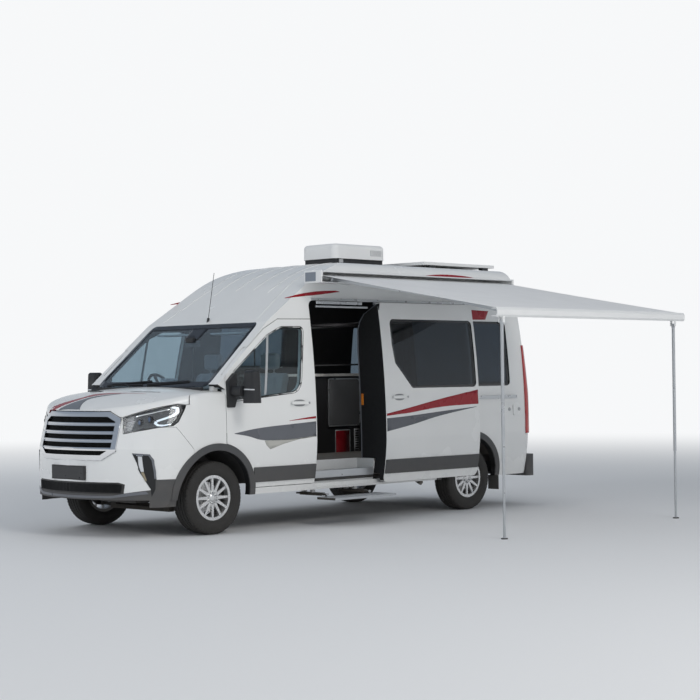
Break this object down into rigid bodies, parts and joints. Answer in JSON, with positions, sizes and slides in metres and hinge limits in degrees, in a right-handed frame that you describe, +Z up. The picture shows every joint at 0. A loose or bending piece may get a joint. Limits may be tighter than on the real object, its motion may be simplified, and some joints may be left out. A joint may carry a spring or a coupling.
{
  "type": "camper van",
  "caption": "High-roof camper van with opening doors and bonnet, steered road wheels, drawn-out folding-arm awning and sliding entry step.",
  "frame": {"origin": "centre of the footprint of the whole van with its awning drawn out, on the ground", "axes": "+X to the van's left, towards the drawn-out awning; +Y to the van's rear; +Z up"},
  "size_m": [4.821, 5.94, 2.98],
  "materials": {
    "white_paint": "gloss",
    "black_plastic": "textured",
    "underbody": "satin",
    "floor_paint": "satin",
    "chrome_trim": "polished",
    "lamp_glass": "clear",
    "red_lens": "gloss",
    "screen_glass": "clear",
    "dark_glass": "tinted",
    "alloy": "machined",
    "silver": "anodised",
    "tyre_rubber": "matte",
    "steel": "satin",
    "bright_steel": "brushed",
    "white_case": "satin",
    "awning_cloth": "woven",
    "solar_cells": "gloss",
    "dash_plastic": "textured",
    "grey_upholstery": "woven",
    "furniture": "satin",
    "black_appliance": "gloss"
  },
  "bodies": {
    "chassis": {"body_sides": "white_paint", "roof_panel": "white_paint", "floor_pan": "floor_paint", "scuttle_panel": "black_plastic", "front_wings": "white_paint", "front_bumper": "white_paint", "grille": "chrome_trim", "headlamps": "lamp_glass", "windscreen": "screen_glass", "side_windows": "dark_glass", "rear_bumper": "black_plastic", "tail_lamps": "red_lens", "body_cladding": "black_plastic", "sliding_door": "white_paint", "sliding_door_rails": "silver", "air_conditioner": "white_case", "solar_panel": "solar_cells", "antenna": "black_plastic", "awning_case": "white_case", "awning_fabric": "awning_cloth", "engine": "steel", "fuel_tank": "black_plastic", "exhaust": "bright_steel", "front_suspension": "steel", "rear_axle": "steel", "dashboard": "dash_plastic", "cab_seats": "grey_upholstery", "galley": "furniture", "fridge": "black_appliance", "lounge": "grey_upholstery"},
    "left_front_door": {"left_door": "white_paint", "left_door_glass": "dark_glass", "left_mirror": "black_plastic"},
    "right_front_door": {"right_door": "white_paint", "right_door_glass": "dark_glass", "right_mirror": "black_plastic"},
    "left_rear_door": {"rear_door_left": "white_paint"},
    "right_rear_door": {"rear_door_right": "white_paint"},
    "bonnet_lid": {"bonnet": "white_paint"},
    "left_steering": {"left_knuckle": "steel"},
    "right_steering": {"right_knuckle": "steel"},
    "front_left_roadwheel": {"front_left_wheel": "alloy", "front_left_tyre": "tyre_rubber"},
    "front_right_roadwheel": {"front_right_wheel": "alloy", "front_right_tyre": "tyre_rubber"},
    "rear_left_roadwheel": {"rear_left_wheel": "alloy", "rear_left_tyre": "tyre_rubber"},
    "rear_right_roadwheel": {"rear_right_wheel": "alloy", "rear_right_tyre": "tyre_rubber"},
    "steering_control": {"steering_wheel": "dash_plastic"},
    "step": {"entry_step": "silver"},
    "awning_front_inner": {"awning_arm_front_inner": "white_case"},
    "awning_front_outer": {"awning_arm_front_outer": "white_case"},
    "awning_rear_inner": {"awning_arm_rear_inner": "white_case"},
    "awning_rear_outer": {"awning_arm_rear_outer": "white_case"},
    "awning_rail": {"awning_lead_rail": "white_case"},
    "front_leg": {"awning_leg_front": "silver"},
    "rear_leg": {"awning_leg_rear": "silver"},
    "front_foot": {"awning_foot_front": "silver"},
    "rear_foot": {"awning_foot_rear": "silver"}
  },
  "joints": [
    {"name": "left_front_door_hinge", "type": "hinge", "parent": "chassis", "child": "left_front_door", "pos_m": [-0.0325, -1.82, 1.2], "axis": [0, 0, -1], "range_deg": [0, 70]},
    {"name": "right_front_door_hinge", "type": "hinge", "parent": "chassis", "child": "right_front_door", "pos_m": [-2.0985, -1.82, 1.2], "axis": [0, 0, 1], "range_deg": [0, 70]},
    {"name": "left_rear_door_hinge", "type": "hinge", "parent": "chassis", "child": "left_rear_door", "pos_m": [-0.1575, 2.896, 1.5], "axis": [0, 0, -1], "range_deg": [0, 180]},
    {"name": "right_rear_door_hinge", "type": "hinge", "parent": "chassis", "child": "right_rear_door", "pos_m": [-1.9735, 2.896, 1.5], "axis": [0, 0, 1], "range_deg": [0, 180]},
    {"name": "bonnet_hinge", "type": "hinge", "parent": "chassis", "child": "bonnet_lid", "pos_m": [-1.0655, -1.987, 1.43], "axis": [-1, 0, 0], "range_deg": [0, 55]},
    {"name": "left_king_pin", "type": "hinge", "parent": "chassis", "child": "left_steering", "pos_m": [-0.2755, -1.952, 0.356], "axis": [0, 0, 1], "range_deg": [-35, 35]},
    {"name": "right_king_pin", "type": "hinge", "parent": "chassis", "child": "right_steering", "pos_m": [-1.8555, -1.952, 0.356], "axis": [0, 0, 1], "range_deg": [-35, 35]},
    {"name": "front_left_wheel_spin", "type": "hinge", "parent": "left_steering", "child": "front_left_roadwheel", "pos_m": [-0.1975, -1.952, 0.356], "axis": [1, 0, 0], "continuous": true},
    {"name": "front_right_wheel_spin", "type": "hinge", "parent": "right_steering", "child": "front_right_roadwheel", "pos_m": [-1.9335, -1.952, 0.356], "axis": [1, 0, 0], "continuous": true},
    {"name": "rear_left_wheel_spin", "type": "hinge", "parent": "chassis", "child": "rear_left_roadwheel", "pos_m": [-0.1975, 1.808, 0.356], "axis": [1, 0, 0], "continuous": true},
    {"name": "rear_right_wheel_spin", "type": "hinge", "parent": "chassis", "child": "rear_right_roadwheel", "pos_m": [-1.9335, 1.808, 0.356], "axis": [1, 0, 0], "continuous": true},
    {"name": "steering_column", "type": "hinge", "parent": "chassis", "child": "steering_control", "pos_m": [-1.4855, -1.47, 1.4], "axis": [0, 0.866, 0.5], "range_deg": [-540, 540]},
    {"name": "step_slide", "type": "slide", "parent": "chassis", "child": "step", "axis": [-1, 0, 0], "range_m": [0, 0.28]},
    {"name": "awning_fold", "type": "hinge", "parent": "chassis", "child": "awning_front_inner", "pos_m": [0.0345, -0.45, 2.50981], "axis": [0.1761, 0, 0.9844], "range_deg": [0, 72], "deforming": ["awning_fabric"]},
    {"name": "awning_front_elbow", "type": "hinge", "parent": "awning_front_inner", "child": "awning_front_outer", "pos_m": [1.19413, -0.14972, 2.30237], "axis": [0.1761, 0, 0.9844], "range_deg": [-144, 0]},
    {"name": "awning_rail_pivot", "type": "hinge", "parent": "awning_front_outer", "child": "awning_rail", "pos_m": [2.35375, -0.45, 2.09494], "axis": [0.1761, 0, 0.9844], "range_deg": [0, 72]},
    {"name": "awning_rear_shoulder", "type": "hinge", "parent": "chassis", "child": "awning_rear_inner", "pos_m": [0.0345, 2.14, 2.50981], "axis": [0.1761, 0, 0.9844], "range_deg": [-72, 0]},
    {"name": "awning_rear_elbow", "type": "hinge", "parent": "awning_rear_inner", "child": "awning_rear_outer", "pos_m": [1.19413, 1.83972, 2.30237], "axis": [0.1761, 0, 0.9844], "range_deg": [0, 144]},
    {"name": "front_leg_fold", "type": "hinge", "parent": "awning_rail", "child": "front_leg", "pos_m": [2.3745, -0.56, 2.012], "axis": [1, 0, 0], "range_deg": [0, 90]},
    {"name": "front_leg_telescope", "type": "slide", "parent": "front_leg", "child": "front_foot", "axis": [0, 0, 1], "range_m": [0, 0.68]},
    {"name": "rear_leg_fold", "type": "hinge", "parent": "awning_rail", "child": "rear_leg", "pos_m": [2.3745, 2.23, 2.012], "axis": [-1, 0, 0], "range_deg": [0, 90]},
    {"name": "rear_leg_telescope", "type": "slide", "parent": "rear_leg", "child": "rear_foot", "axis": [0, 0, 1], "range_m": [0, 0.68]}
  ],
  "couplings": [
    {"joint": "right_king_pin", "follows": "left_king_pin", "ratio": 1},
    {"joint": "steering_column", "follows": "left_king_pin", "ratio": 15.4},
    {"joint": "awning_front_elbow", "follows": "awning_fold", "ratio": -2},
    {"joint": "awning_rail_pivot", "follows": "awning_fold", "ratio": 1},
    {"joint": "awning_rear_shoulder", "follows": "awning_fold", "ratio": -1},
    {"joint": "awning_rear_elbow", "follows": "awning_fold", "ratio": 2}
  ]
}
